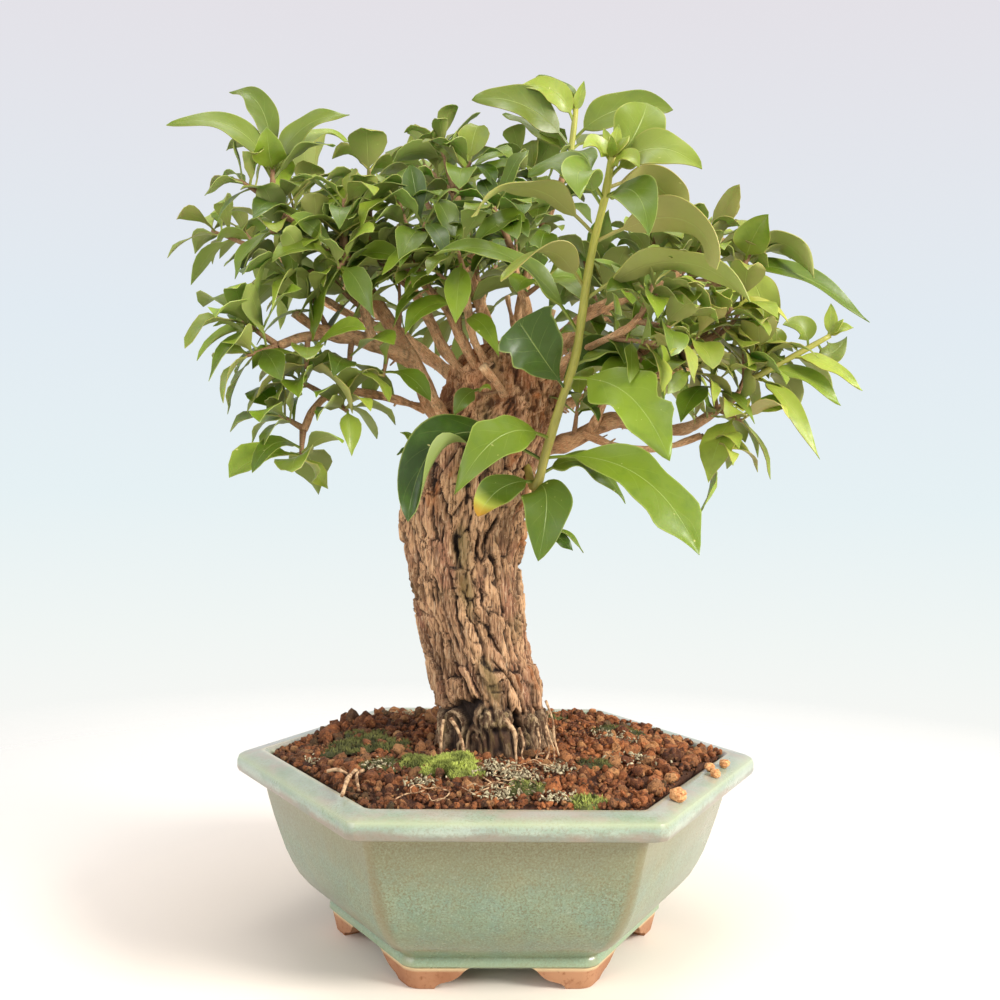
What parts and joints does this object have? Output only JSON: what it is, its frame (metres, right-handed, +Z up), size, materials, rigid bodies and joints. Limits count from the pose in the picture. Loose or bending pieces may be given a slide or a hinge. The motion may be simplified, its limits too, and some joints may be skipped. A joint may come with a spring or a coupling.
{
  "type": "potted bonsai tree",
  "caption": "Bougainvillea bonsai with a thick leaning trunk and a flat leafy crown, in a low six-sided glazed pot with feet.",
  "frame": {"origin": "middle of the pot, on the surface it stands on", "axes": "+Z up along the tree, -Y out of the front side of the pot, which is the side seen in the picture, +X to the viewer's right across two corners of the pot"},
  "size_m": [0.3322, 0.2396, 0.3944],
  "materials": {
    "glaze": "satin speckled celadon glaze, bare clay feet",
    "drain_mesh": "matte",
    "soil": "rough granules of baked clay soil",
    "bark": "rough fibrous bark",
    "leaf": "living leaves with a waxy gloss"
  },
  "bodies": {
    "root": {"drain_mesh": "drain_mesh", "front_shoot": "leaf", "left_shoot": "leaf", "loose_grain_1": "soil", "loose_grain_2": "soil", "loose_grain_3": "soil", "loose_grain_4": "soil", "pot": "glaze", "right_crest": "leaf", "right_shoot": "leaf", "soil": "soil", "spray_back_crown": "leaf", "spray_back_end": "leaf", "spray_back_left_end": "leaf", "spray_back_left_side": "leaf", "spray_back_low_end": "leaf", "spray_back_right_end": "leaf", "spray_back_right_side": "leaf", "spray_centre_low": "leaf", "spray_far_left_end": "leaf", "spray_far_right_end": "leaf", "spray_front_middle": "leaf", "spray_front_top": "leaf", "spray_left_back": "leaf", "spray_left_crown": "leaf", "spray_left_hanging": "leaf", "spray_left_high": "leaf", "spray_left_inner": "leaf", "spray_left_shelf": "leaf", "spray_left_tip": "leaf", "spray_level_end": "leaf", "spray_level_inner": "leaf", "spray_level_tip": "leaf", "spray_level_under": "leaf", "spray_low_left_end": "leaf", "spray_low_left_inner": "leaf", "spray_low_left_tip": "leaf", "spray_low_left_upper": "leaf", "spray_middle_left": "leaf", "spray_right_crown": "leaf", "spray_right_edge": "leaf", "spray_right_front": "leaf", "spray_right_hanging": "leaf", "spray_right_high": "leaf", "spray_right_inner": "leaf", "spray_right_low_end": "leaf", "spray_right_low_twig": "leaf", "spray_right_shoulder": "leaf", "spray_right_under": "leaf", "spray_top_back": "leaf", "spray_top_inner": "leaf", "spray_top_left_back": "leaf", "spray_top_left_front": "leaf", "spray_top_left_high": "leaf", "spray_upright_side": "leaf", "spray_upright_twig": "leaf", "top_shoot": "leaf", "tree": "bark"}
  },
  "joints": []
}
